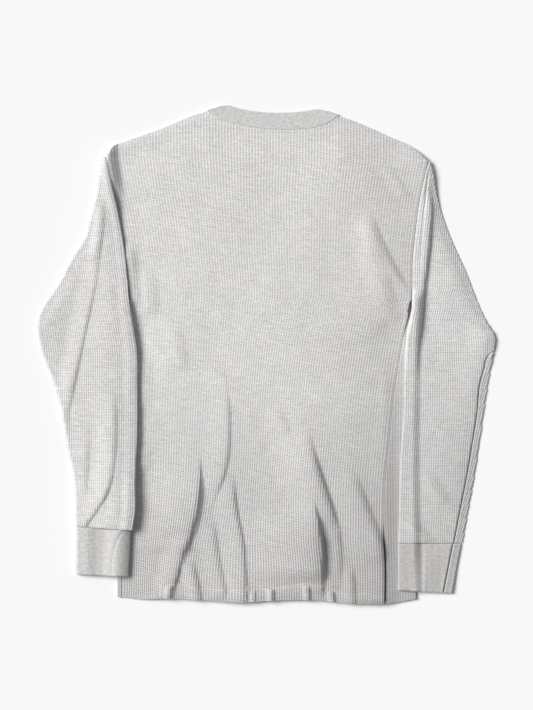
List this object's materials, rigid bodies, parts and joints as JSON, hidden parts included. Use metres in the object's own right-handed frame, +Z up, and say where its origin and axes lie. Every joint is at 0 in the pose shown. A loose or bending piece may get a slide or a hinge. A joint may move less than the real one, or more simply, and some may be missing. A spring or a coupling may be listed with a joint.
{
  "type": "thermal top",
  "caption": "Long-sleeved thermal top in heather-grey waffle knit with a crew neck and rib cuffs, laid flat with its back up and its sleeves folded down beside the body.",
  "frame": {"origin": "middle of the laid-out top's outline, on the surface it lies on", "axes": "+Y along the body towards the neck, +X across it towards the wearer's right side, +Z up out of the surface, through the back of the top"},
  "size_m": [0.6466, 0.7068, 0.0213],
  "materials": {
    "waffle_knit": "soft matt waffle knit in heather grey",
    "rib_knit": "soft matt fine rib in heather grey"
  },
  "bodies": {
    "root": {"front_panel": "waffle_knit", "back_panel": "waffle_knit", "sleeve_left": "waffle_knit", "sleeve_right": "waffle_knit", "cuff_left": "rib_knit", "cuff_right": "rib_knit", "neckband": "rib_knit"}
  },
  "joints": []
}
